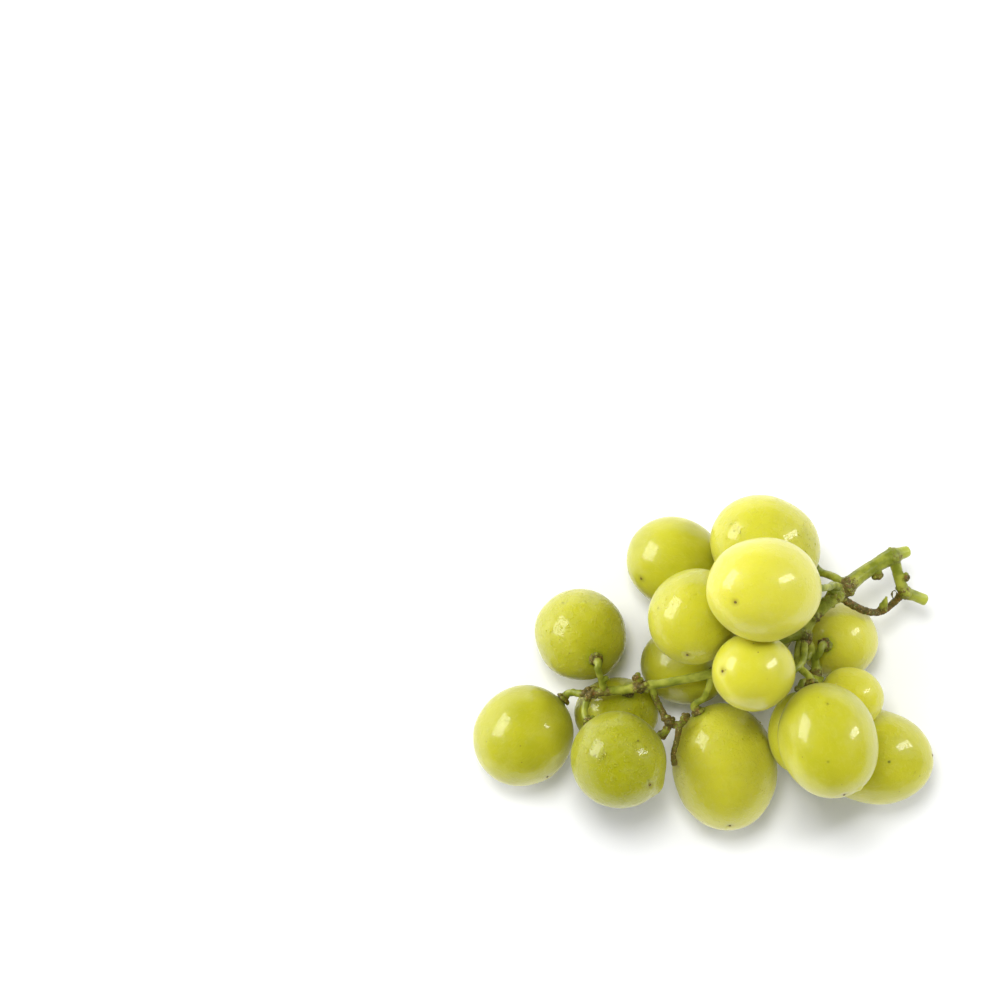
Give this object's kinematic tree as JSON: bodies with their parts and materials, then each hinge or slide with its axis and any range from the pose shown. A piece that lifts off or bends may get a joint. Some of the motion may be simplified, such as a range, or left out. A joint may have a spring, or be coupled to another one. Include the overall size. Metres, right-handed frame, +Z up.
{
  "type": "bunch of grapes",
  "caption": "Small bunch of green table grapes as picked: oval berries on a branched green stem, lying on its side.",
  "frame": {"origin": "on the table, under the middle of the bunch's bounding box", "axes": "+Z up from the table that the bunch lies on; +X along the bunch's longest side, towards the cut end of its stem"},
  "size_m": [0.1134, 0.0826, 0.0601],
  "materials": {
    "grape_skin": "thin, tight, translucent yellow-green skin, waxy and softly glossy, with faint pale veins, small brown specks and a brown scar at the flower end",
    "green_stem": "matt green young wood, browner at its joints and warty where it meets each berry, pale where it is cut"
  },
  "bodies": {
    "root": {"berry_01": "grape_skin", "berry_02": "grape_skin", "berry_03": "grape_skin", "berry_04": "grape_skin", "berry_05": "grape_skin", "berry_06": "grape_skin", "berry_07": "grape_skin", "berry_08": "grape_skin", "berry_09": "grape_skin", "berry_10": "grape_skin", "berry_11": "grape_skin", "berry_12": "grape_skin", "berry_13": "grape_skin", "berry_14": "grape_skin", "berry_15": "grape_skin", "berry_16": "grape_skin", "berry_17": "grape_skin", "stem": "green_stem"}
  },
  "joints": []
}
